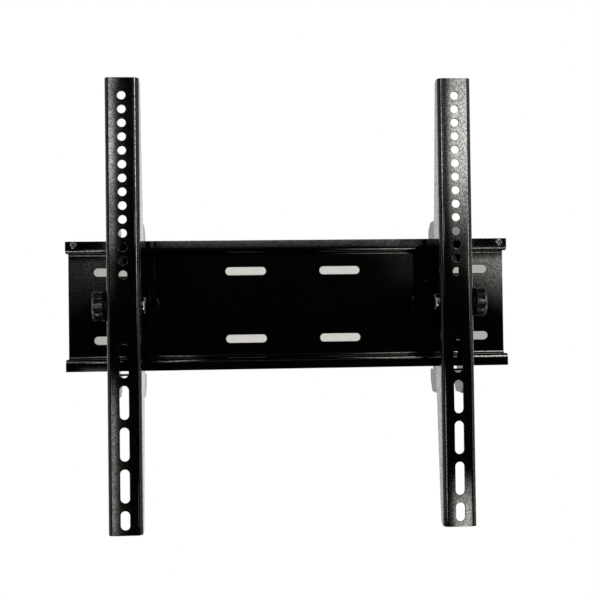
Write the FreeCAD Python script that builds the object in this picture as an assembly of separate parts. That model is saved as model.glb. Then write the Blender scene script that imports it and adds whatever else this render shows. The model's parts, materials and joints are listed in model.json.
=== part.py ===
import FreeCAD, Part
import math
import os

# Tilting wall mount for a flat screen: a folded wall plate with two rails, and two slotted arms that
# hang on it by hangers, each clamped at its tilt by a knob. Sizes are in millimetres. X runs along the
# rails, the front faces -Y, the wall is the plane Y = 0, and the origin is the middle of the plate's back.

# Sheet metal
sheet = 2.0
bend_inner = 2.0
arm_bend_inner = 3.0

# Wall plate
plate_width = 448.2
plate_height = 130.5
rail_depth = 17.0
lip_height = 12.25
wall_slot_length = 41.6
wall_slot_width = 8.2
wall_slot_rows = 69.5
inner_slot_spacing = 96.9
outer_slot_spacing = 364.5
slot_pattern_shift = 4.4

# Stop screws at the ends of the top rail
stop_screw_inset = 8.6
stop_screw_drop = 4.0
stop_screw_d = 4.0
stop_screw_head_d = 7.0
stop_screw_head_height = 2.4
stop_screw_edge = 1.0
stop_screw_tail = 2.6
stop_screw_key = 2.5
stop_screw_key_depth = 1.3
stop_nut_flats = 7.0
stop_nut_height = 3.2
stop_hole_clearance = 0.1

# Arms
arm_spacing = 317.0
arm_length = 430.0
arm_width = 32.2
arm_front = 73.0
arm_depth_middle = 26.0
arm_depth_end = 13.0
arm_full_depth_length = 150.0
arm_corner_radius = 5.0
arm_shoulder_radius = 40.0
hole_d = 8.0
hole_pitch = 13.0
hole_count = 14
first_hole_from_top = 17.0
long_slot_length = 31.6
arm_slot_width = 8.8
long_slot_pitch = 39.0
long_slot_count = 4
first_slot_below_pivot = 52.0
short_slot_length = 18.0
short_slot_from_bottom = 14.0

# Tilt pivot
pivot_depth = 16.0
bolt_d = 8.0
bolt_clearance = 0.1
bolt_head_d = 17.0
bolt_head_height = 4.0
bolt_head_rim = 1.1
bolt_dome_steps = 6
bolt_neck = 8.0
bolt_neck_clearance = 0.1
bolt_tail = 1.6
friction_washer_d = 20.0
friction_washer_thickness = 1.0
knob_washer_d = 16.0
knob_washer_thickness = 1.6
spacer_d = 12.0
running_gap = 0.05

# Knobs
knob_d = 29.0
knob_head_length = 10.5
knob_neck_d = 19.0
knob_neck_length = 1.9
knob_edge_radius = 2.0
knob_edge_steps = 3
knob_rim = 1.6
knob_dish_depth = 0.8
knob_dish_margin = 4.0
flute_count = 10
flute_radius = 2.5
flute_depth = 1.8
knob_nut_flats = 13.0
knob_nut_height = 6.5
knob_nut_recess = 0.6
knob_nut_clearance = 0.05
knob_bolt_room = 1.0

# Hangers
hook_rise = 16.75
foot_depth = 25.75
hanger_front_setback = 11.0
hanger_ear_radius = 11.0
hanger_web_depth = 28.0
hanger_web_top = 24.0
hanger_web_bottom = 36.0
hanger_waist = 6.0
hook_play = 0.5
hook_floor_gap = 2.5
hook_rear = 6.0
hook_brow = 8.0
hook_brow_length = 10.0
hook_neck = 14.5
foot_play = 2.5
foot_drop = 2.75
foot_rear = 7.0
foot_heel = 11.5
foot_toe = 7.0
foot_neck = 12.5
foot_front_chamfer = 6.0
tab_gap = 0.4
hanger_corner = 4.0
hanger_small_corner = 1.0

# Lock screws under the bottom rail
lock_screw_d = 5.0
lock_screw_clearance = 0.1
lock_screw_wall_distance = 11.0
lock_screw_tip_gap = 2.0
lock_screw_head_d = 8.5
lock_screw_head_height = 5.0
lock_screw_key = 4.0
lock_screw_key_depth = 2.5

# Places that follow from the sizes above
plate_top = plate_height / 2
lip_front = -rail_depth
lip_back = lip_front + sheet
flange_inner = plate_top - lip_height
flange_outer = flange_inner + sheet
bend_outer = bend_inner + sheet
arm_bend_outer = arm_bend_inner + sheet
pivot_y = -arm_front + pivot_depth
arm_half = arm_width / 2
arm_inside = arm_half - sheet
hanger_half = arm_inside - friction_washer_thickness
hanger_inside = hanger_half - sheet
hanger_top = plate_top + hook_rise
hanger_bottom = plate_top + foot_depth
knob_seat = arm_half + knob_washer_thickness + running_gap
knob_end = knob_seat + knob_neck_length + knob_head_length
nut_start = knob_seat + knob_nut_recess
nut_end = nut_start + knob_nut_height
bolt_end = nut_end + bolt_tail
sides = {"left": -1, "right": 1}


def vector(plane, level, first, second):
    # A point of an outline drawn in the named plane, at a level along the third axis.
    if plane == "yz":
        return FreeCAD.Vector(level, first, second)
    if plane == "xz":
        return FreeCAD.Vector(first, level, second)
    return FreeCAD.Vector(first, second, level)


def prism(plane, corners, start, end):
    # A closed outline of (first, second, corner radius) drawn in a plane, extruded from start to end.
    entries = []
    middles = []
    exits = []
    for index, (first, second, radius) in enumerate(corners):
        here = FreeCAD.Vector(first, second, 0)
        before = FreeCAD.Vector(*corners[index - 1][:2], 0) - here
        after = FreeCAD.Vector(*corners[(index + 1) % len(corners)][:2], 0) - here
        before.normalize()
        after.normalize()
        half = before.getAngle(after) / 2
        bisector = before + after
        if radius:
            bisector.normalize()
        setback = radius / math.tan(half)
        entries.append(here + before * setback)
        exits.append(here + after * setback)
        middles.append(here + bisector * (radius / math.sin(half) - radius))
    edges = []
    for index, corner in enumerate(corners):
        entry = vector(plane, start, entries[index].x, entries[index].y)
        leave = vector(plane, start, exits[index].x, exits[index].y)
        following = entries[(index + 1) % len(corners)]
        target = vector(plane, start, following.x, following.y)
        if corner[2]:
            middle = vector(plane, start, middles[index].x, middles[index].y)
            edges.append(Part.Arc(entry, middle, leave).toShape())
        if leave.distanceToPoint(target) > 1e-6:
            edges.append(Part.LineSegment(leave, target).toShape())
    face = Part.Face(Part.Wire(edges))
    return face.extrude(vector(plane, end - start, 0, 0))


def block(x_range, y_range, z_range):
    size = [high - low for low, high in (x_range, y_range, z_range)]
    return Part.makeBox(*size, FreeCAD.Vector(x_range[0], y_range[0], z_range[0]))


def rod(radius, start, end):
    # A round bar between two points.
    axis = FreeCAD.Vector(*end) - FreeCAD.Vector(*start)
    return Part.makeCylinder(radius, axis.Length, FreeCAD.Vector(*start), axis)


def hexagon(flats, start, end, first_corner=30):
    # A six-sided bar between two points; the angle of its first corner turns it about its length.
    begin = FreeCAD.Vector(*start)
    axis = FreeCAD.Vector(*end) - begin
    length = axis.Length
    corner = flats / math.sqrt(3)
    turns = [math.radians(60 * step + first_corner) for step in range(6)]
    ring = [FreeCAD.Vector(corner * math.cos(turn), corner * math.sin(turn), 0) for turn in turns]
    bar = Part.Face(Part.makePolygon(ring + ring[:1])).extrude(FreeCAD.Vector(0, 0, length))
    bar.Placement = FreeCAD.Placement(begin, FreeCAD.Rotation(FreeCAD.Vector(0, 0, 1), axis))
    return bar


def turned(profile, origin, axis):
    # A closed profile of (along, radius) points, turned about an axis that starts at the origin.
    points = [FreeCAD.Vector(radius, 0, along) for along, radius in profile]
    face = Part.Face(Part.makePolygon(points + points[:1]))
    body = face.revolve(FreeCAD.Vector(0, 0, 0), FreeCAD.Vector(0, 0, 1), 360)
    turn = FreeCAD.Rotation(FreeCAD.Vector(0, 0, 1), FreeCAD.Vector(*axis))
    body.Placement = FreeCAD.Placement(FreeCAD.Vector(*origin), turn)
    return body


def slot(x, z, width, height, front, back):
    # A round-ended slot through a sheet that lies square to Y.
    radius = min(width, height) / 2
    left = x - width / 2
    right = x + width / 2
    low = z - height / 2
    high = z + height / 2
    corners = [(left, low, radius), (right, low, radius), (right, high, radius), (left, high, radius)]
    return prism("xz", corners, front, back)


def arm_centre(side):
    return side * arm_spacing / 2


def stop_screw_place(side):
    return side * (plate_width / 2 - stop_screw_inset), plate_top - stop_screw_drop


def wall_plate():
    # One sheet: a web on the wall, a flange forward at its top and bottom, and a lip turned out from each.
    section = [
        (lip_front, plate_top, 0),
        (lip_back, plate_top, 0),
        (lip_back, flange_outer, bend_inner),
        (0, flange_outer, bend_outer),
        (0, -flange_outer, bend_outer),
        (lip_back, -flange_outer, bend_inner),
        (lip_back, -plate_top, 0),
        (lip_front, -plate_top, 0),
        (lip_front, -flange_inner, bend_outer),
        (-sheet, -flange_inner, bend_inner),
        (-sheet, flange_inner, bend_inner),
        (lip_front, flange_inner, bend_outer),
    ]
    plate = prism("yz", section, -plate_width / 2, plate_width / 2)
    cuts = []
    for spacing in (inner_slot_spacing, outer_slot_spacing):
        for along in (-1, 1):
            for row in (-1, 1):
                x = slot_pattern_shift + along * spacing / 2
                z = row * wall_slot_rows / 2
                cuts.append(slot(x, z, wall_slot_length, wall_slot_width, -2 * sheet, sheet))
    for side in sides.values():
        x, z = stop_screw_place(side)
        radius = stop_screw_d / 2 + stop_hole_clearance
        cuts.append(rod(radius, (x, lip_front - sheet, z), (x, lip_back + sheet, z)))
    return plate.cut(cuts)


def stop_screw(side):
    # A domed screw through the lip, which keeps the hooks from sliding off the rail's end.
    x, z = stop_screw_place(side)
    head_radius = stop_screw_head_d / 2
    head = turned(
        [
            (0, 0),
            (0, head_radius),
            (stop_screw_head_height - stop_screw_edge, head_radius),
            (stop_screw_head_height - stop_screw_edge / 3, head_radius - stop_screw_edge / 3),
            (stop_screw_head_height, head_radius - stop_screw_edge),
            (stop_screw_head_height, 0),
        ],
        (x, lip_front, z),
        (0, -1, 0),
    )
    tip = lip_back + stop_nut_height + stop_screw_tail
    shank = rod(stop_screw_d / 2, (x, lip_front, z), (x, tip, z))
    front = lip_front - stop_screw_head_height
    key = hexagon(stop_screw_key, (x, front - 1, z), (x, front + stop_screw_key_depth, z))
    return head.fuse(shank).cut(key).removeSplitter()


def stop_nut(side):
    x, z = stop_screw_place(side)
    nut = hexagon(stop_nut_flats, (x, lip_back, z), (x, lip_back + stop_nut_height, z), first_corner=0)
    bore = rod(stop_screw_d / 2, (x, lip_back - 1, z), (x, lip_back + stop_nut_height + 1, z))
    return nut.cut(bore)


def arm(side):
    # A channel with its back open to the wall; its walls are deepest round the pivot and taper to the ends.
    centre = arm_centre(side)
    half_length = arm_length / 2
    front = -arm_front
    back = front + arm_depth_middle
    section = [
        (centre - arm_half, front, arm_bend_outer),
        (centre + arm_half, front, arm_bend_outer),
        (centre + arm_half, back, 0),
        (centre + arm_inside, back, 0),
        (centre + arm_inside, front + sheet, arm_bend_inner),
        (centre - arm_inside, front + sheet, arm_bend_inner),
        (centre - arm_inside, back, 0),
        (centre - arm_half, back, 0),
    ]
    channel = prism("xy", section, -half_length, half_length)
    end_back = front + arm_depth_end
    shoulder = arm_full_depth_length / 2
    silhouette = [
        (front, -half_length, 0),
        (front, half_length, 0),
        (end_back, half_length, arm_corner_radius),
        (back, shoulder, arm_shoulder_radius),
        (back, -shoulder, arm_shoulder_radius),
        (end_back, -half_length, arm_corner_radius),
    ]
    channel = channel.common(prism("yz", silhouette, centre - arm_half, centre + arm_half))
    through = (front - sheet, front + 2 * sheet)
    cuts = []
    for index in range(hole_count):
        z = half_length - first_hole_from_top - index * hole_pitch
        cuts.append(rod(hole_d / 2, (centre, through[0], z), (centre, through[1], z)))
    for index in range(long_slot_count):
        z = -first_slot_below_pivot - index * long_slot_pitch
        cuts.append(slot(centre, z, arm_slot_width, long_slot_length, *through))
    z = -half_length + short_slot_from_bottom
    cuts.append(slot(centre, z, arm_slot_width, short_slot_length, *through))
    bolt_hole = bolt_d / 2 + bolt_clearance
    outside = centre + side * (arm_half + sheet)
    cuts.append(rod(bolt_hole, (centre, pivot_y, 0), (outside, pivot_y, 0)))
    neck = bolt_neck / 2 + bolt_neck_clearance
    inside = sorted((centre, centre - side * (arm_half + sheet)))
    cuts.append(block(inside, (pivot_y - neck, pivot_y + neck), (-neck, neck)))
    return channel.cut(cuts)


def hanger_outline():
    # One wall of the hanger, from the ear at the pivot over the hook, down the back and round the foot.
    front = pivot_y + hanger_front_setback
    distance = math.hypot(hanger_front_setback, hanger_top)
    half_angle = math.atan2(hanger_top, hanger_front_setback) - math.asin(hanger_ear_radius / distance)
    apex = pivot_y - hanger_ear_radius / math.sin(half_angle)
    hook_inner = lip_back + hook_play
    hook_outer = lip_front - hook_play
    waist = -hanger_web_depth - hanger_waist
    foot_front = lip_front - foot_play
    foot_top = -plate_top - foot_drop
    hook_low = flange_outer + hook_floor_gap
    small = hanger_small_corner
    corner = hanger_corner
    return [
        (apex, 0, hanger_ear_radius),
        (front, hanger_top, corner),
        (-hook_rear - hook_brow_length, hanger_top, 2 * corner),
        (-hook_rear, hanger_top - hook_brow, corner),
        (-hook_rear, hook_low, small),
        (hook_inner, hook_low, small),
        (hook_inner, plate_top, 0),
        (hook_outer, plate_top, 0),
        (hook_outer, plate_top - hook_neck, corner),
        (waist, plate_top - 2 * hook_neck, corner),
        (waist, foot_top + 2 * foot_neck, corner),
        (foot_front, foot_top + foot_neck, corner),
        (foot_front, foot_top, 0),
        (-foot_rear, foot_top, small),
        (-foot_rear, foot_top - foot_heel, corner),
        (-foot_rear - foot_toe, -hanger_bottom, corner),
        (front + foot_front_chamfer, -hanger_bottom, corner),
        (front, -hanger_top, corner),
    ]


def hanger(side):
    # One sheet: two hooked walls joined by a web behind the pivot, and a tab folded in over the foot.
    centre = arm_centre(side)
    outline = hanger_outline()
    walls = []
    for across in (-1, 1):
        faces = sorted((centre + across * hanger_inside, centre + across * hanger_half))
        walls.append(prism("yz", outline, *faces))
    back = -hanger_web_depth
    waist = back - hanger_waist - sheet
    section = [
        (centre - hanger_half, waist, 0),
        (centre - hanger_inside, waist, 0),
        (centre - hanger_inside, back - sheet, bend_inner),
        (centre + hanger_inside, back - sheet, bend_inner),
        (centre + hanger_inside, waist, 0),
        (centre + hanger_half, waist, 0),
        (centre + hanger_half, back, bend_outer),
        (centre - hanger_half, back, bend_outer),
    ]
    web = prism("xy", section, -hanger_web_bottom, hanger_web_top)
    tab_top = -plate_top - foot_drop
    tab_side = (centre + side * hanger_half, centre - side * (hanger_inside - tab_gap))
    tab_depth = (lip_front + hook_play, -foot_rear)
    tab = block(sorted(tab_side), tab_depth, (tab_top - sheet, tab_top))
    bolt_hole = rod(
        bolt_d / 2 + bolt_clearance,
        (centre - arm_half, pivot_y, 0),
        (centre + arm_half, pivot_y, 0),
    )
    screw_hole = rod(
        lock_screw_d / 2 + lock_screw_clearance,
        (centre, -lock_screw_wall_distance, tab_top - 2 * sheet),
        (centre, -lock_screw_wall_distance, tab_top + sheet),
    )
    return walls[0].fuse([walls[1], web, tab]).removeSplitter().cut([bolt_hole, screw_hole])


def lock_screw(side):
    # A screw up through the tab; its tip stands behind the bottom lip and keeps the foot in.
    centre = arm_centre(side)
    y = -lock_screw_wall_distance
    seat = -plate_top - foot_drop - sheet - running_gap
    low = seat - lock_screw_head_height
    head = rod(lock_screw_head_d / 2, (centre, y, low), (centre, y, seat))
    shank = rod(lock_screw_d / 2, (centre, y, seat), (centre, y, -flange_outer - lock_screw_tip_gap))
    key = hexagon(lock_screw_key, (centre, y, low - 1), (centre, y, low + lock_screw_key_depth))
    return head.fuse(shank).cut(key).removeSplitter()


def pivot_bolt(side):
    # A mushroom-headed bolt; its square neck sits in the arm's inner wall, so that it can't turn.
    centre = arm_centre(side)
    seat = (centre - side * arm_half, pivot_y, 0)
    dome_height = bolt_head_height - bolt_head_rim
    dome_radius = (dome_height**2 + (bolt_head_d / 2) ** 2) / (2 * dome_height)
    dome_angle = math.asin(bolt_head_d / 2 / dome_radius)
    profile = [(0, 0)]
    for step in range(bolt_dome_steps + 1):
        turn = dome_angle * (1 - step / bolt_dome_steps)
        profile.append((bolt_head_height - dome_radius * (1 - math.cos(turn)), dome_radius * math.sin(turn)))
    profile.insert(1, (0, bolt_head_d / 2))
    head = turned(profile, seat, (-side, 0, 0))
    neck = bolt_neck / 2
    neck_range = sorted((seat[0], seat[0] + side * sheet))
    square = block(neck_range, (pivot_y - neck, pivot_y + neck), (-neck, neck))
    shank = rod(bolt_d / 2, seat, (centre + side * bolt_end, pivot_y, 0))
    return head.fuse([square, shank]).removeSplitter()


def ring(outer_d, inner_d, centre, start, end):
    # A washer or sleeve on the pivot's axis, between two distances from the arm's middle plane.
    outer = rod(outer_d / 2, (centre + start, pivot_y, 0), (centre + end, pivot_y, 0))
    inner = rod(inner_d / 2, (centre + start, pivot_y, 0), (centre + end, pivot_y, 0))
    return outer.cut(inner)


def knob(side):
    # A fluted plastic knob with a plain rim at its outer end, moulded round a nut.
    centre = arm_centre(side)
    length = knob_end - knob_seat
    radius = knob_d / 2
    edge = knob_edge_radius
    dish = radius - knob_dish_margin
    inner_edge = []
    outer_edge = []
    for step in range(knob_edge_steps + 1):
        turn = math.pi / 2 * step / knob_edge_steps
        along = edge * (1 - math.sin(turn))
        inward = edge * (1 - math.cos(turn))
        inner_edge.append((knob_neck_length + along, radius - inward))
        outer_edge.append((length - along, radius - inward))
    inner_edge.reverse()
    body = turned(
        [(0, 0), (0, knob_neck_d / 2), (knob_neck_length, knob_neck_d / 2)]
        + inner_edge
        + outer_edge
        + [(length, dish), (length - knob_dish_depth, dish - knob_dish_depth)]
        + [(length - knob_dish_depth, 0)],
        (centre + side * knob_seat, pivot_y, 0),
        (side, 0, 0),
    )
    end = centre + side * knob_end
    flutes = []
    flute_start = centre + side * (knob_seat - 1)
    flute_stop = end - side * (knob_rim + edge)
    reach = radius + flute_radius - flute_depth
    for step in range(flute_count):
        turn = 2 * math.pi * (step + 0.5) / flute_count
        y = pivot_y - reach * math.cos(turn)
        z = reach * math.sin(turn)
        flutes.append(rod(flute_radius, (flute_start, y, z), (flute_stop, y, z)))
    pocket_flats = knob_nut_flats + 2 * knob_nut_clearance
    pocket = hexagon(
        pocket_flats,
        (centre + side * (knob_seat - 1), pivot_y, 0),
        (centre + side * (nut_end + knob_nut_clearance), pivot_y, 0),
    )
    room = rod(
        bolt_d / 2 + bolt_clearance,
        (centre + side * knob_seat, pivot_y, 0),
        (centre + side * (bolt_end + knob_bolt_room), pivot_y, 0),
    )
    return body.cut(flutes + [pocket, room])


def knob_nut(side):
    centre = arm_centre(side)
    ends = [(centre + side * distance, pivot_y, 0) for distance in (nut_start, nut_end)]
    return hexagon(knob_nut_flats, *ends).cut(rod(bolt_d / 2 + running_gap, *ends))


def export(name, shape):
    shape.exportStep("parts/" + name + ".step")
    print(name, len(shape.Solids), shape.isValid(), round(shape.Volume, 1))


os.makedirs("parts", exist_ok=True)
export("wall_plate", wall_plate())
for name, side in sides.items():
    centre = arm_centre(side)
    bore = bolt_d + 2 * bolt_clearance
    export(name + "_stop_screw", stop_screw(side))
    export(name + "_stop_nut", stop_nut(side))
    export(name + "_arm", arm(side))
    export(name + "_hanger", hanger(side))
    export(name + "_lock_screw", lock_screw(side))
    export(name + "_pivot_bolt", pivot_bolt(side))
    washer_start = side * (hanger_half + running_gap)
    washer_end = side * arm_inside
    outer_washer = ring(friction_washer_d, bore, centre, washer_start, washer_end)
    export(name + "_outer_friction_washer", outer_washer)
    inner_washer = ring(friction_washer_d, bore, centre, -washer_start, -washer_end)
    export(name + "_inner_friction_washer", inner_washer)
    spacer_half = hanger_inside - running_gap
    export(name + "_spacer", ring(spacer_d, bore, centre, -spacer_half, spacer_half))
    washer_seat = side * arm_half
    washer_face = side * (arm_half + knob_washer_thickness)
    export(name + "_knob_washer", ring(knob_washer_d, bore, centre, washer_seat, washer_face))
    export(name + "_knob", knob(side))
    export(name + "_knob_nut", knob_nut(side))
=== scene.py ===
import json
import math

import bpy
from mathutils import Matrix, Vector


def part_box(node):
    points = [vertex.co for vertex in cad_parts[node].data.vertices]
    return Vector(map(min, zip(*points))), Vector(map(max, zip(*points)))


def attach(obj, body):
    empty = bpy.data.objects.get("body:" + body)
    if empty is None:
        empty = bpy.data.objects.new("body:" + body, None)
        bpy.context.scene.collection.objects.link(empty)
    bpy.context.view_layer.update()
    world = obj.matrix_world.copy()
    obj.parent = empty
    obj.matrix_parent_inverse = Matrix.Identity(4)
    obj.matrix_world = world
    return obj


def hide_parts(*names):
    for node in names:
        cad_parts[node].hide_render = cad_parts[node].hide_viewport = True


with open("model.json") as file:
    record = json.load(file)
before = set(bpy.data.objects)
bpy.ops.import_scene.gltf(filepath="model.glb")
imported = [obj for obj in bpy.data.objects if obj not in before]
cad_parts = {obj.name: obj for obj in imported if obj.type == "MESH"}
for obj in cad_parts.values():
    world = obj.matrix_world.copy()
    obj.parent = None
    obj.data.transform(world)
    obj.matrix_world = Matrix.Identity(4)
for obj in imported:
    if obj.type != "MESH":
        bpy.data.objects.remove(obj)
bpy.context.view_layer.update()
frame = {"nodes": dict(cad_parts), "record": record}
scene = bpy.context.scene
scene.view_settings.view_transform = "Standard"
print("frame loaded:", len(frame["nodes"]), "nodes")


# shader wiring: sums on sockets become Math nodes
class Wire:
    def __init__(self, tree, socket):
        self.tree = tree
        self.socket = socket

    def node(self, kind, settings=None, inputs=None, output=0):
        made = self.tree.nodes.new(kind)
        for name, value in (settings or {}).items():
            setattr(made, name, value)
        for name, value in (inputs or {}).items():
            if isinstance(value, Wire):
                self.tree.links.new(value.socket, made.inputs[name])
            else:
                made.inputs[name].default_value = value
        return Wire(self.tree, made.outputs[output])

    def sum(self, operation, first, second):
        return self.node("ShaderNodeMath", {"operation": operation}, {0: first, 1: second})

    def __add__(self, other):
        return self.sum("ADD", self, other)

    __radd__ = __add__

    def __mul__(self, other):
        return self.sum("MULTIPLY", self, other)

    __rmul__ = __mul__

    def __sub__(self, other):
        return self.sum("SUBTRACT", self, other)

    def __rsub__(self, other):
        return self.sum("SUBTRACT", other, self)

    def __pow__(self, other):
        return self.sum("POWER", self, other)


def startFinish(name, fixed):
    material = bpy.data.materials.new(name)
    material.use_nodes = True
    tree = material.node_tree
    shader = tree.nodes["Principled BSDF"]
    for socket, value in fixed.items():
        shader.inputs[socket].default_value = value
    place = Wire(tree, tree.nodes.new("ShaderNodeTexCoord").outputs["Object"])
    return material, shader, place


def feed(shader, **wires):
    for socket, wire in wires.items():
        wire.tree.links.new(wire.socket, shader.inputs[socket.replace("_", " ")])


def axisOf(place, axis):  # one coordinate of a point, counted from X
    return place.node("ShaderNodeSeparateXYZ", None, {0: place}, axis)


def rayIs(wire, kind):
    return wire.node("ShaderNodeLightPath", None, None, kind)


def lengthOf(vector):
    return vector.node("ShaderNodeVectorMath", {"operation": "LENGTH"}, {0: vector}, "Value")


def larger(first, second):
    return first.sum("MAXIMUM", first, second)


def noise(place, scale, detail):
    return place.node("ShaderNodeTexNoise", None, {"Vector": place, "Scale": scale, "Detail": detail})


def blend(first, second, share):
    return first * share + second * (1 - share)


def around(middle, spread, pattern):  # a value that wanders about its middle
    return middle + spread * (pattern - 0.5)


def uneven(place, look):  # a factor that drifts from place to place
    return look["least"] + look["spread"] * noise(place, *look["cloud"])


def tint(mask, low, high):
    return mask.node("ShaderNodeMix", {"data_type": "RGBA"}, {0: mask, 6: (*low, 1), 7: (*high, 1)}, 2)


def ease(wire, low, high, toLow=0.0, toHigh=1.0):
    inputs = {"Value": wire, "From Min": low, "From Max": high, "To Min": toLow, "To Max": toHigh}
    return wire.node("ShaderNodeMapRange", {"interpolation_type": "SMOOTHSTEP"}, inputs)


def band(wire, low, high, soft):
    return ease(wire, low - soft, low + soft) * ease(wire, high - soft, high + soft, 1.0, 0.0)


def bump(height, distance, under=None):
    inputs = {"Height": height, "Distance": distance, "Strength": 1.0}
    if under:
        inputs["Normal"] = under
    return height.node("ShaderNodeBump", None, inputs)


powderCoatLook = {  # a pattern is its scale and detail
    "dark": (0.0004, 0.0004, 0.0004), "light": (0.0015, 0.0015, 0.0015), "grainTint": 0.7,
    "grain": (1100, 1.0), "grainHeight": 0.0000015, "peel": (420, 1.0), "peelHeight": 0.000003,
    "cloud": (38, 3.0), "roughLow": 0.03, "roughSpread": 0.04, "grainRough": 0.4,
    "specular": 0.32, "coatRough": 0.05, "coatIor": 1.55,
    "speck": (620, 1.5), "speckLow": 0.40, "speckHigh": 0.60, "speckLeast": 0.12, "hangerGloss": 0.33,
}


def powderCoat(name, gloss):
    look = powderCoatLook
    fixed = {"Specular IOR Level": look["specular"] * gloss}
    fixed.update({"Coat Roughness": look["coatRough"], "Coat IOR": look["coatIor"]})
    material, shader, place = startFinish(name, fixed)
    grain = noise(place, *look["grain"])
    peel = noise(place, *look["peel"])
    cloud = noise(place, *look["cloud"])  # slow drift of the coat's gloss
    feed(shader, Base_Color=tint(blend(grain, cloud, look["grainTint"]), look["dark"], look["light"]))
    feed(shader, Roughness=look["roughLow"] + look["roughSpread"] * blend(grain, cloud, look["grainRough"]))
    speck = ease(noise(place, *look["speck"]), look["speckLow"], look["speckHigh"], look["speckLeast"])
    feed(shader, Coat_Weight=gloss * speck)  # gloss in specks
    feed(shader, Normal=bump(grain, look["grainHeight"], bump(peel, look["peelHeight"])))
    return material


def reachFrom(place, axis):  # how far a point is from a line along X
    inputs = {0: place, 1: (0, 1, 1), 2: axis}
    return lengthOf(place.node("ShaderNodeVectorMath", {"operation": "MULTIPLY_ADD"}, inputs))


blackSteelLook = {  # radii from the bolt's axis, and the depths between which the painted glint ends
    # light is the colour of the painted glint, oxide the bolt's own dark colour
    "light": (0.55, 0.55, 0.545), "oxide": (0.012, 0.012, 0.012), "rough": 0.14, "roughSpread": 0.06,
    "grain": (900, 3.0), "grainHeight": 0.0000008, "glintLeast": 0.4, "glintSpread": 1.2, "axis": (0, 0.057, 0),
    "capEnd": 0.0066, "ringStart": 0.0072, "ringEnd": 0.0083, "sideStart": 0.00845, "sideShine": 0.28,
    "glintFront": (-0.0585, -0.0560),
}


def blackSteel():  # a ring on the front half of a bolt's dome gets bright metal colour, a painted highlight for its glint; the middle and the side get less of it and keep the dark oxide
    look = blackSteelLook
    material, shader, place = startFinish("blackSteel", {"Metallic": 1.0})
    grain = noise(place, *look["grain"])
    reach = reachFrom(place, look["axis"])
    side = ease(reach, look["ringEnd"], look["sideStart"], 1.0, look["sideShine"])
    ring = ease(reach, look["capEnd"], look["ringStart"]) * side
    frontHalf = ease(axisOf(place, 1), *look["glintFront"], 1.0, 0.0)  # the painted glint is on the front half alone, not towards the wall
    paintedGlint = frontHalf * ring * (look["glintLeast"] + look["glintSpread"] * grain)
    feed(shader, Base_Color=tint(paintedGlint, look["oxide"], look["light"]))
    feed(shader, Roughness=around(look["rough"], look["roughSpread"], grain))
    feed(shader, Normal=bump(grain, look["grainHeight"]))
    return material


knobPlasticLook = {  # groove and rib are radii from the bolt's axis
    "dark": (0.0008, 0.0008, 0.0008), "light": (0.003, 0.003, 0.003), "sparkTint": 0.5,
    "spark": (2600, 2.0), "sparkHeight": 0.000006, "cloud": (90, 2.0), "rough": 0.5, "roughSpread": 0.16,
    "axis": (0, 0.057, 0), "groove": 0.0134, "rib": 0.0142,
    "polishAndShade": 0.9, "polishAndShadeLeast": 0.7, "polishAndShadeSpread": 0.6,
    "fixed": {"Specular IOR Level": 0.06, "Coat Roughness": 0.3, "Coat IOR": 1.6},
}


def knobPlastic():  # the ribs are polished by hands and get more coat gloss; the flutes keep the dull moulded skin, and their lack of gloss is also painted shade in the flutes
    look = knobPlasticLook
    material, shader, place = startFinish("knobPlastic", look["fixed"])
    spark = noise(place, *look["spark"])  # fine moulded texture
    cloud = noise(place, *look["cloud"])
    rib = ease(reachFrom(place, look["axis"]), look["groove"], look["rib"])
    feed(shader, Base_Color=tint(blend(spark, cloud, look["sparkTint"]), look["dark"], look["light"]))
    # more coat gloss on the ribs than in the flutes: hand polish, and painted shade that darkens the flutes
    feed(shader, Coat_Weight=look["polishAndShade"] * rib * (look["polishAndShadeLeast"] + look["polishAndShadeSpread"] * cloud))
    feed(shader, Roughness=around(look["rough"], look["roughSpread"], spark))
    feed(shader, Normal=bump(spark, look["sparkHeight"]))
    return material


zincLook = {
    "dark": (0.42, 0.42, 0.41), "light": (0.68, 0.68, 0.67), "fineTint": 0.5,
    "rough": 0.26, "roughSpread": 0.2, "coarse": (160, 2.0), "fine": (700, 4.0), "height": 0.000004,
    "fixed": {"Metallic": 1.0},
}
nylonLook = {
    "dark": (0.012, 0.012, 0.013), "light": (0.03, 0.03, 0.031), "fineTint": 0.0,
    "rough": 0.45, "roughSpread": 0.15, "coarse": (240, 3.0), "fine": (1400, 1.0), "height": 0.000004,
    "fixed": {},
}
blackScrewLook = {  # small blackened screws
    "dark": (0.16, 0.16, 0.16), "light": (0.22, 0.22, 0.218), "fineTint": 0.0,
    "rough": 0.06, "roughSpread": 0.06, "coarse": (1100, 2.0), "fine": (1100, 2.0), "height": 0.000001,
    "fixed": {"Metallic": 1.0},
}
bareCutLook = {  # the walls of the punched holes, where the coat is thin and dull
    "dark": (0.002, 0.002, 0.002), "light": (0.008, 0.008, 0.008), "fineTint": 0.0,
    "rough": 0.55, "roughSpread": 0.2, "coarse": (700, 3.0), "fine": (1600, 1.0), "height": 0.000008,
    "fixed": {"Specular IOR Level": 0.25},
}


def plainFinish(name, look):  # a coarse pattern sets the roughness, a fine one the bump, and both the colour
    material, shader, place = startFinish(name, look["fixed"])
    coarse = noise(place, *look["coarse"])
    fine = noise(place, *look["fine"])
    feed(shader, Base_Color=tint(blend(fine, coarse, look["fineTint"]), look["dark"], look["light"]))
    feed(shader, Roughness=around(look["rough"], look["roughSpread"], coarse))
    feed(shader, Normal=bump(fine, look["height"]))
    return material


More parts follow.
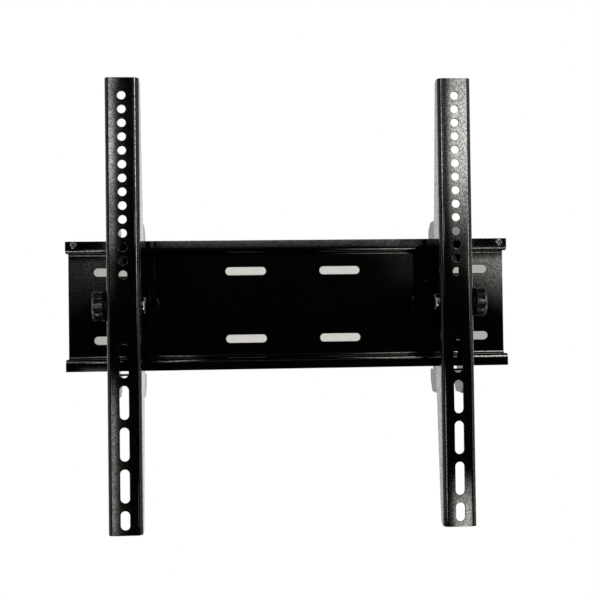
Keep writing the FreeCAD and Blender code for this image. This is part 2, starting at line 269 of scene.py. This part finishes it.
finishes = {
    "powder_coat": powderCoat("powderCoat", 1.0), "dark_hardware": blackSteel(),
    "zinc_hardware": plainFinish("zincPlate", zincLook), "knob_plastic": knobPlastic(),
    "nylon": plainFinish("nylon", nylonLook),
}
slotOf = {part["node"]: part["material_slot"] for part in frame["record"]["subparts"]}
bodyOf = {node: body for body, nodes in frame["record"]["behaviour"]["bodies"].items() for node in nodes}
for node, cadObject in frame["nodes"].items():
    cadObject.data.materials.clear()
    cadObject.data.materials.append(finishes[slotOf[node]])
hangerFinish = powderCoat("hangerCoat", powderCoatLook["hangerGloss"])  # the hangers are duller
cutFinish = plainFinish("bareCut", bareCutLook)
screwFinish = plainFinish("blackScrew", blackScrewLook)
print("finishes made:", len(finishes))


def alone(piece):
    bpy.ops.object.select_all(action="DESELECT")
    piece.select_set(True)
    bpy.context.view_layer.objects.active = piece


def applyModifier(piece, kind, **settings):
    modifier = piece.modifiers.new(kind.lower(), kind)
    for name, value in settings.items():
        setattr(modifier, name, value)
    alone(piece)
    bpy.ops.object.modifier_apply(modifier=modifier.name)


def settle(piece, node):
    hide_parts(node)
    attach(piece, bodyOf[node])


cadMend = {"merge": 0.000002, "flatAngle": 0.4}
sheetEdges = {"width": 0.00035, "segments": 2, "angle": 32, "smooth": 34}
hardwareEdges = {"width": 0.0002, "segments": 2, "angle": 40, "smooth": 40}


# a cut sheet's edges are a little rounded, and the coat makes them rounder
def roundedCopy(node, name, edges):
    piece = bpy.data.objects.new(name, frame["nodes"][node].data.copy())
    scene.collection.objects.link(piece)
    alone(piece)
    bpy.ops.object.mode_set(mode="EDIT")
    bpy.ops.mesh.select_all(action="SELECT")
    bpy.ops.mesh.customdata_custom_splitnormals_clear()
    bpy.ops.mesh.remove_doubles(threshold=cadMend["merge"])
    bpy.ops.mesh.dissolve_limited(angle_limit=math.radians(cadMend["flatAngle"]), delimit=set())
    bpy.ops.object.mode_set(mode="OBJECT")
    applyModifier(piece, "BEVEL", width=edges["width"], segments=edges["segments"],
                  limit_method="ANGLE", angle_limit=math.radians(edges["angle"]),
                  use_clamp_overlap=False, miter_outer="MITER_SHARP")
    bpy.ops.object.shade_smooth_by_angle(angle=math.radians(edges["smooth"]))
    applyModifier(piece, "WEIGHTED_NORMAL", weight=100, keep_sharp=True)
    settle(piece, node)
    return piece


plateHoles = {"across": (-0.21, 0.216), "up": (-0.042, 0.042), "depth": (-0.002, 0.0)}
armHoles = {"half": 0.0052, "up": (-0.212, 0.212), "sheet": 0.002}
screwSocket = {"half": 0.0022, "start": 0.00001, "depth": 0.004}
holeWall = {"facing": 0.75}  # a face that looks less to the front than this is a wall


# the walls of the holes and slots get the dull finish; depth is the sheet's front and back
def dullHoles(piece, across, up, depth):
    piece.data.materials.append(cutFinish)
    for face in piece.data.polygons:
        x, y, z = face.center
        inside = across[0] < x < across[1] and up[0] < z < up[1] and depth[0] < y < depth[1]
        if inside and abs(face.normal.y) < holeWall["facing"]:
            face.material_index = 1


def dullSocket(piece, node, socket):
    low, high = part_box(node)
    centre = [(first + last) / 2 for first, last in zip(low, high)]
    across, up = [(centre[axis] - socket["half"], centre[axis] + socket["half"]) for axis in (0, 2)]
    dullHoles(piece, across, up, (low[1] + socket["start"], low[1] + socket["depth"]))


fittings = (
    "stop_screw", "stop_nut", "lock_screw", "outer_friction_washer", "inner_friction_washer", "spacer",
    "knob_washer", "knob_nut",
)
plateCoated = roundedCopy("wall_plate", "wallPlateCoated", sheetEdges)
dullHoles(plateCoated, plateHoles["across"], plateHoles["up"], plateHoles["depth"])
for side in ("left", "right"):
    armCoated = roundedCopy(side + "_arm", side + "ArmCoated", sheetEdges)
    middle = sum(corner[0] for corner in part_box(side + "_arm")) / 2
    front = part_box(side + "_arm")[0][1]
    across = (middle - armHoles["half"], middle + armHoles["half"])
    dullHoles(armCoated, across, armHoles["up"], (front, front + armHoles["sheet"]))
    roundedCopy(side + "_hanger", side + "HangerCoated", sheetEdges).data.materials[0] = hangerFinish
    for fitting in fittings:
        fittingNode = side + "_" + fitting
        fittingName = side + "".join(word.title() for word in fitting.split("_"))
        piece = roundedCopy(fittingNode, fittingName, hardwareEdges)
        if slotOf[fittingNode] == "dark_hardware":
            piece.data.materials[0] = cutFinish if fitting == "knob_washer" else screwFinish
        if fitting == "stop_screw":  # its socket is dull too
            dullSocket(piece, fittingNode, screwSocket)
print("sheet pieces and small fittings rounded")


def turnedSolid(name, vertices, profile):  # rings of a turned piece, pulled out along Z from a filled circle
    bpy.ops.object.select_all(action="DESELECT")
    bpy.ops.mesh.primitive_circle_add(vertices=vertices, radius=profile[0][1], fill_type="NGON",
                                      location=(0, 0, 0))
    piece = bpy.context.object
    piece.name = name
    bpy.ops.object.mode_set(mode="EDIT")
    bpy.ops.mesh.select_all(action="SELECT")
    for (low, inner), (high, outer) in zip(profile, profile[1:]):
        bpy.ops.mesh.extrude_region_move(TRANSFORM_OT_translate={"value": (0, 0, high - low)})
        bpy.ops.transform.resize(value=(outer / inner, outer / inner, 1))
    bpy.ops.mesh.select_all(action="SELECT")
    bpy.ops.mesh.normals_make_consistent(inside=False)
    bpy.ops.object.mode_set(mode="OBJECT")
    return piece


def addCylinder(radius, low, high, vertices):
    bpy.ops.object.select_all(action="DESELECT")
    centre = (0, 0, (low + high) / 2)
    bpy.ops.mesh.primitive_cylinder_add(vertices=vertices, radius=radius, depth=high - low, location=centre)
    return bpy.context.object


def cutAway(piece, cutter):
    applyModifier(piece, "BOOLEAN", operation="DIFFERENCE", solver="EXACT", object=cutter)
    bpy.data.objects.remove(cutter)


def copyOf(model, name):
    piece = bpy.data.objects.new(name, model.data.copy())
    scene.collection.objects.link(piece)
    return piece


def standAlong(model, name, node, way, start):  # a copy turned to lie along X, in the node's place
    piece = copyOf(model, name)
    low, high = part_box(node)
    alone(piece)
    piece.rotation_euler = (0, math.radians(90 * way), 0)
    piece.location = (start, (low[1] + high[1]) / 2, (low[2] + high[2]) / 2)
    bpy.ops.object.transform_apply(location=True, rotation=True, scale=True)
    piece.data.materials.append(finishes[slotOf[node]])
    settle(piece, node)


knobSettings = {  # rings as height and radius, from the neck up
    "vertices": 120, "flutes": 10, "fluteRadius": 0.0022, "fluteReach": 0.0147, "fluteEnd": 0.0100,
    "fluteSides": 32,
    "profile": [
        (0, 0.0095), (0.0019, 0.0095), (0.00191, 0.0128), (0.0022, 0.0136), (0.0028, 0.0142),
        (0.0036, 0.0145), (0.0093, 0.0145), (0.0096, 0.0141), (0.0100, 0.0141), (0.0103, 0.0145),
        (0.0112, 0.0145), (0.0118, 0.0143), (0.0122, 0.0138), (0.0124, 0.0130), (0.0124, 0.0112),
        (0.0117, 0.0104), (0.01165, 0.0040), (0.0119, 0.0034), (0.0120, 0.0010),
    ],
    "pocket": (0.00765, 0.00715), "room": (0.00415, 0.0097), "boreSides": 48, "below": -0.002,
    "edge": 0.00045, "edgeSegments": 3, "angle": 38,
}


def addKnobs(settings):  # modelled once, standing on its neck, then copied to both sides
    knob = turnedSolid("knobModel", settings["vertices"], settings["profile"])
    below = settings["below"]
    flute = addCylinder(settings["fluteRadius"], below, settings["fluteEnd"], settings["fluteSides"])
    for step in range(settings["flutes"]):
        turn = 2 * math.pi * (step + 0.5) / settings["flutes"] - math.pi / 2
        cutter = copyOf(flute, "fluteCutter")
        reach = settings["fluteReach"]
        cutter.location = (reach * math.cos(turn), reach * math.sin(turn), flute.location.z)
        cutAway(knob, cutter)
    bpy.data.objects.remove(flute)
    for radius, depth in (settings["pocket"], settings["room"]):
        cutAway(knob, addCylinder(radius, below, depth, settings["boreSides"]))
    angle = math.radians(settings["angle"])
    applyModifier(knob, "BEVEL", width=settings["edge"], segments=settings["edgeSegments"],
                  limit_method="ANGLE", angle_limit=angle)
    bpy.ops.object.shade_smooth_by_angle(angle=angle)
    standAlong(knob, "leftKnobFluted", "left_knob", -1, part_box("left_knob")[1][0])
    standAlong(knob, "rightKnobFluted", "right_knob", 1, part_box("right_knob")[0][0])
    bpy.data.objects.remove(knob)


addKnobs(knobSettings)
print("knobs modelled")

boltSettings = {  # rings measured back from the top of the head, and the square under it
    "vertices": 96, "shank": 0.004, "point": 0.0006, "head": 0.004, "step": 0.00001, "smooth": 36,
    "neck": 0.0057, "neckLength": 0.002, "neckSides": 4, "neckTurn": 45, "overlap": 0.0004,
    "dome": [
        (0.0040, 0.0081), (0.0037, 0.0085), (0.0026, 0.0085), (0.0023, 0.0084), (0.0016, 0.0078),
        (0.0010, 0.0071), (0.0006, 0.0064), (0.00035, 0.0055), (0.00018, 0.0042), (0.00007, 0.0026),
        (0.00002, 0.0010),
    ],
}


def addBolts(settings):  # modelled once, standing on its point, then copied to both sides
    low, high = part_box("left_pivot_bolt")
    length = high[0] - low[0]
    seat = length - settings["head"]
    radius, point = settings["shank"], settings["point"]
    profile = [(0, radius - point), (point, radius), (seat - settings["step"], radius)]
    profile += [(length - back, reach) for back, reach in settings["dome"]]
    bolt = turnedSolid("boltModel", settings["vertices"], profile)
    neckStart = seat - settings["neckLength"]
    neck = addCylinder(settings["neck"], neckStart, seat + settings["overlap"], settings["neckSides"])
    neck.rotation_euler = (0, 0, math.radians(settings["neckTurn"]))
    applyModifier(bolt, "BOOLEAN", operation="UNION", solver="EXACT", object=neck)
    bpy.data.objects.remove(neck)
    bpy.ops.object.shade_smooth_by_angle(angle=math.radians(settings["smooth"]))
    standAlong(bolt, "leftBoltDomed", "left_pivot_bolt", 1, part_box("left_pivot_bolt")[0][0])
    standAlong(bolt, "rightBoltDomed", "right_pivot_bolt", -1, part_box("right_pivot_bolt")[1][0])
    bpy.data.objects.remove(bolt)


addBolts(boltSettings)
print("bolts modelled")

cameraSettings = {
    "place": (-0.0383, -0.8717, -0.0079), "pitch": 0.0140, "yaw": -0.0572, "roll": 0.0130,
    "lens": 50.66, "sensor": 36.0, "near": 0.01,
}


def addCamera(settings):
    data = bpy.data.cameras.new("photoCamera")
    data.lens = settings["lens"]
    data.sensor_width = settings["sensor"]
    data.clip_start = settings["near"]
    camera = bpy.data.objects.new("photoCamera", data)
    scene.collection.objects.link(camera)
    turn = Matrix.Rotation(settings["yaw"], 3, "Z") @ Matrix.Rotation(settings["pitch"], 3, "X")
    turn = turn @ Matrix.Rotation(settings["roll"], 3, "Y")
    axes = Matrix([turn @ Vector(axis) for axis in ((1, 0, 0), (0, 0, 1), (0, -1, 0))])  # right, up and back
    camera.matrix_world = Matrix.Translation(settings["place"]) @ axes.transposed().to_4x4()
    scene.camera = camera


addCamera(cameraSettings)
print("camera set")

warmWhite = (1.0, 0.98, 0.91)
softboxLook = {  # two tall softboxes behind the camera, brighter away from the middle, each with a flag
    "distance": 2.0, "reach": 1.3, "top": 2.6, "low": -1.1, "wingFrom": 0.74, "wingFull": 0.80,
    "webSoft": 0.007, "flagSoft": (0.01, 0.004),
    "left": {
        "side": -1, "bright": 10.5, "cut": (0.440, 0.452), "ramp": (0.452, 0.508), "curve": 2.0, "wing": 1.0,
        "steps": [(0.0, 0.18, 0.04), (0.15, 0.27, 0.42), (0.33, 0.52, 0.51), (0.54, 0.76, -0.53)],
        "foot": (-0.36, -0.18, 0.35), "web": (0.60, -0.05, 0.27, 0.0, 0.045),
        "flag": (0.510, 0.72, 0.172, 0.42),
    },
    "right": {
        "side": 1, "bright": 10.4, "cut": (0.601, 0.612), "ramp": (0.578, 0.645), "curve": 1.0, "wing": 0.0,
        "steps": [(0.08, 0.22, 0.035), (0.196, 0.526, 0.965), (0.64, 0.76, -0.30)],
        "foot": (-0.70, -0.53, 0.75), "web": (0.69, 0.036, 0.506, 0.5, 1.0),
        "flag": (0.694, 0.90, 0.172, 0.42),
    },
}


def addPanel(name, low, high, turn, glowOf):  # a flat panel between two corners; turn points its bright side
    bpy.ops.object.select_all(action="DESELECT")
    centre = [(first + last) / 2 for first, last in zip(low, high)]
    size = [last - first for first, last in zip(low, high)]
    rotation = [math.radians(angle) for angle in turn]
    bpy.ops.mesh.primitive_plane_add(size=1, location=centre, rotation=rotation)
    panel = bpy.context.object
    panel.name = name
    panel.scale = (size[2] if turn[1] else size[0], size[2] if turn[0] else size[1], 1)
    bpy.ops.object.transform_apply(location=True, rotation=True, scale=True)
    material = bpy.data.materials.new(name)
    material.use_nodes = True
    tree = material.node_tree
    tree.nodes.clear()
    place = Wire(tree, tree.nodes.new("ShaderNodeTexCoord").outputs["Object"])
    shine = place.node("ShaderNodeVectorMath", {"operation": "SCALE"}, {0: warmWhite, 3: glowOf(place)})
    glow = place.node("ShaderNodeEmission", None, {"Color": shine})
    back = place.node("ShaderNodeNewGeometry", None, None, "Backfacing")
    clear = place.node("ShaderNodeBsdfTransparent")
    mixed = place.node("ShaderNodeMixShader", None, {0: back, 1: glow, 2: clear})
    tree.links.new(mixed.socket, tree.nodes.new("ShaderNodeOutputMaterial").inputs["Surface"])
    panel.data.materials.append(material)
    return panel


def addSoftbox(name, look, box):
    def glowOf(place):
        across = axisOf(place, 0) * box["side"]
        height = axisOf(place, 2)
        spread = ease(across, *box["cut"]) * ease(across, *box["ramp"]) ** box["curve"]
        footLow, footHigh, footGlow = box["foot"]
        shade = footGlow * ease(height, footLow, footHigh, 1.0, 0.0)
        for low, high, amount in box["steps"]:
            shade = shade + amount * ease(height, low, high)
        edge, low, high, slant, amount = box["web"]  # what the plate's end sees
        past = ease(across, edge - look["webSoft"], edge + look["webSoft"])
        wing = box["wing"] * ease(across, look["wingFrom"], look["wingFull"])  # for the arm's outer bend
        web = amount * ease(height + slant * (across - edge), low, high)
        shade = (1 - past + wing) * shade + past * web
        first, last, low, high = box["flag"]
        acrossSoft, heightSoft = look["flagSoft"]
        flag = band(across, first, last, acrossSoft) * band(height, low, high, heightSoft)
        return spread * shade * (1 - flag) * box["bright"]

    inner = box["cut"][0]
    sides = sorted((box["side"] * inner, box["side"] * look["reach"]))
    low = (sides[0], -look["distance"], look["low"])
    high = (sides[1], -look["distance"], look["top"])
    addPanel(name, low, high, (-90, 0, 0), glowOf).visible_camera = False


addSoftbox("leftSoftbox", softboxLook, softboxLook["left"])
addSoftbox("rightSoftbox", softboxLook, softboxLook["right"])

middleLook = {  # a column is its side, where it starts, is full, falls and ends, and its glow
    "across": (-0.435, 0.550), "up": (0.03, 2.6), "end": (0.535, 0.550),
    "lip": {"ends": (-0.345, 0.46, 0.02), "rise": (0.203, 0.245), "fall": (0.30, 0.33), "glow": 1.3,
            "least": 0.55, "spread": 0.9, "cloud": (5.0, 1.0)},
    "corner": {"from": (0.32, 0.43), "rise": (0.18, 0.215), "glow": 0.38},
    "web": {"from": (0.33, 0.50), "rise": (0.04, 0.15), "glow": 0.14},
    "columns": [(1, 0.36, 0.52, 0.535, 0.550, 5.0), (-1, 0.24, 0.33, 0.340, 0.370, 4.0)],
    "columnRise": (0.25, 0.5),
}


def addMiddle(look):  # the dim middle between the softboxes, with a strip for the top lip and two columns
    def glowOf(place):
        across = axisOf(place, 0)
        height = axisOf(place, 2)
        lip, corner, web = look["lip"], look["corner"], look["web"]
        strip = band(across, *lip["ends"]) * ease(height, *lip["rise"]) * ease(height, *lip["fall"], 1.0, 0.0)
        glow = lip["glow"] * strip * uneven(place, lip)
        glow = glow + corner["glow"] * ease(across, *corner["from"]) * ease(height, *corner["rise"])
        glow = glow + web["glow"] * ease(across, *web["from"]) ** 2 * ease(height, *web["rise"])
        for side, start, full, fall, end, bright in look["columns"]:
            column = ease(across * side, start, full) * ease(across * side, fall, end, 1.0, 0.0)
            glow = glow + bright * column * ease(height, *look["columnRise"])
        return glow * ease(across, *look["end"], 1.0, 0.0)

    low, high = [(look["across"][end], -softboxLook["distance"], look["up"][end]) for end in (0, 1)]
    addPanel("middlePanel", low, high, (-90, 0, 0), glowOf).visible_camera = False


addMiddle(middleLook)

topLampSettings = {"size": 1.4, "place": (0, 0.1, 2.2), "power": 20.0}


def addTopLamp(settings):
    data = bpy.data.lights.new("overhead", "AREA")
    data.size = settings["size"]
    data.energy = settings["power"]
    lamp = bpy.data.objects.new("overhead", data)
    lamp.location = settings["place"]
    lamp.visible_camera = False
    lamp.visible_glossy = False
    scene.collection.objects.link(lamp)


addTopLamp(topLampSettings)

worldLook = {"back": 0.6, "from": 0.25, "to": 0.7, "steepFrom": 0.15, "steepTo": 0.45, "steep": 0.08}


def addWorld(look):  # gloss shows the white behind the part too, and the studio in front stays dark
    world = bpy.data.worlds.new("studioWorld")
    scene.world = world
    world.use_nodes = True
    tree = world.node_tree
    background = tree.nodes["Background"]
    direction = Wire(tree, tree.nodes.new("ShaderNodeTexCoord").outputs["Generated"])
    seen = rayIs(direction, "Is Camera Ray")
    mirrored = rayIs(direction, "Is Glossy Ray") + rayIs(direction, "Is Transmission Ray")
    height = axisOf(direction, 2)
    level = ease(larger(height, 0 - height), look["steepFrom"], look["steepTo"], 1.0, look["steep"])
    behind = ease(axisOf(direction, 1), look["from"], look["to"]) * level
    tone = tint(behind * look["back"], (0, 0, 0), warmWhite)
    inputs = {0: larger(seen, mirrored * behind), 6: tone, 7: (1, 1, 1, 1)}
    shown = behind.node("ShaderNodeMix", {"data_type": "RGBA"}, inputs, 2)
    tree.links.new(shown.socket, background.inputs["Color"])


addWorld(worldLook)

floorLook = {
    "level": -0.62, "radius": 1.7, "vertices": 96, "pale": (0.80, 0.80, 0.79), "white": (0.86, 0.86, 0.855),
    "patch": (6, 3.0), "specular": 0.2, "least": 0.6, "spread": 0.2, "cloud": (40, 2.0),
    "near": 0.35, "far": 0.9, "nearGlow": 0.55, "darkTo": 0.6, "brightFrom": 1.1,
}


def addFloor(look):  # it keeps the part's shadow near the middle and fades to white
    bpy.ops.object.select_all(action="DESELECT")
    bpy.ops.mesh.primitive_circle_add(vertices=look["vertices"], radius=look["radius"], fill_type="NGON",
                                      location=(0, 0, look["level"]))
    floor = bpy.context.object
    floor.name = "paleFloor"
    bpy.ops.object.transform_apply(location=True, rotation=True, scale=True)
    material, shader, place = startFinish("paleFloor", {"Specular IOR Level": look["specular"]})
    tree = place.tree
    feed(shader, Base_Color=tint(noise(place, *look["patch"]), look["pale"], look["white"]))
    feed(shader, Roughness=uneven(place, look))
    flat = place.node("ShaderNodeVectorMath", {"operation": "MULTIPLY"}, {0: place, 1: (1, 1, 0)})
    fade = ease(lengthOf(flat), look["near"], look["far"], look["nearGlow"], 1.0)
    behind = ease(axisOf(place, 1), look["darkTo"], look["brightFrom"])
    seen = rayIs(place, "Is Camera Ray")
    mirrored = rayIs(place, "Is Glossy Ray") + rayIs(place, "Is Transmission Ray")
    glow = place.node("ShaderNodeEmission", None, {"Color": tint(larger(seen, behind), (0, 0, 0), (1, 1, 1))})
    inputs = {0: larger(seen * fade, mirrored), 1: Wire(tree, shader.outputs[0]), 2: glow}
    mixed = place.node("ShaderNodeMixShader", None, inputs)
    tree.links.new(mixed.socket, tree.nodes["Material Output"].inputs["Surface"])
    floor.data.materials.append(material)


addFloor(floorLook)


def hideCard(card):  # it is seen in the gloss alone
    card.visible_camera = False
    card.visible_shadow = False
    card.visible_diffuse = False


cardLook = {  # left and right give the outer and inner end, and how softly the inner end starts
    "left": (-0.80, -0.32, 0.02), "right": (0.85, 0.12, 0.17), "along": (-0.95, -0.35),
    "level": -0.6, "glow": 5.0, "least": 0.9, "spread": 0.2, "cloud": (9, 2.0),
}


def addCard(name, across, look):  # a low white card in front, for the top rail's bends
    outer, inner, soft = across
    side = 1 if outer > 0 else -1

    def glowOf(place):
        reach = axisOf(place, 0) * side
        return look["glow"] * ease(reach, inner * side, inner * side + soft) * uneven(place, look)

    low, high = [(sorted((outer, inner))[end], look["along"][end], look["level"]) for end in (0, 1)]
    hideCard(addPanel(name, low, high, (0, 0, 0), glowOf))


addCard("leftCard", cardLook["left"], cardLook)
addCard("rightCard", cardLook["right"], cardLook)

sideCardLook = {
    "away": 1.05, "along": (-0.80, 0.40), "up": (-0.55, 0.95), "left": 0.35, "right": 1.0,
    "flank": 0.4, "change": (-0.46, -0.40), "least": 0.9, "spread": 0.2, "cloud": (4, 2.0),
}


def addSideCard(name, side, bright, look):  # an upright card for the bolts' domes and the flanks
    def glowOf(place):
        return ease(axisOf(place, 1), *look["change"], bright, look["flank"]) * uneven(place, look)

    low, high = [(side * look["away"], look["along"][end], look["up"][end]) for end in (0, 1)]
    hideCard(addPanel(name, low, high, (0, -90 * side, 0), glowOf))


addSideCard("leftSideCard", -1, sideCardLook["left"], sideCardLook)
addSideCard("rightSideCard", 1, sideCardLook["right"], sideCardLook)

boardLook = {
    "across": (-0.212, 0.218), "up": (-0.045, 0.045), "depth": 0.003, "middle": 0.61, "ends": 0.42,
    "from": 0.10, "to": 0.17, "least": 0.94, "spread": 0.12, "cloud": (180, 2.0),
}


def addBoard(look):  # the pale wall just behind the plate, seen through the slots, its glow held below white as painted shade of the plate
    def glowOf(place):
        across = axisOf(place, 0)
        away = larger(across, 0 - across)
        # painted shade: the glow is dimmer towards the plate's ends
        return ease(away, look["from"], look["to"], look["middle"], look["ends"]) * uneven(place, look)

    low, high = [(look["across"][end], look["depth"], look["up"][end]) for end in (0, 1)]
    addPanel("slotBoard", low, high, (90, 0, 0), glowOf).visible_shadow = False


addBoard(boardLook)
print("studio set")
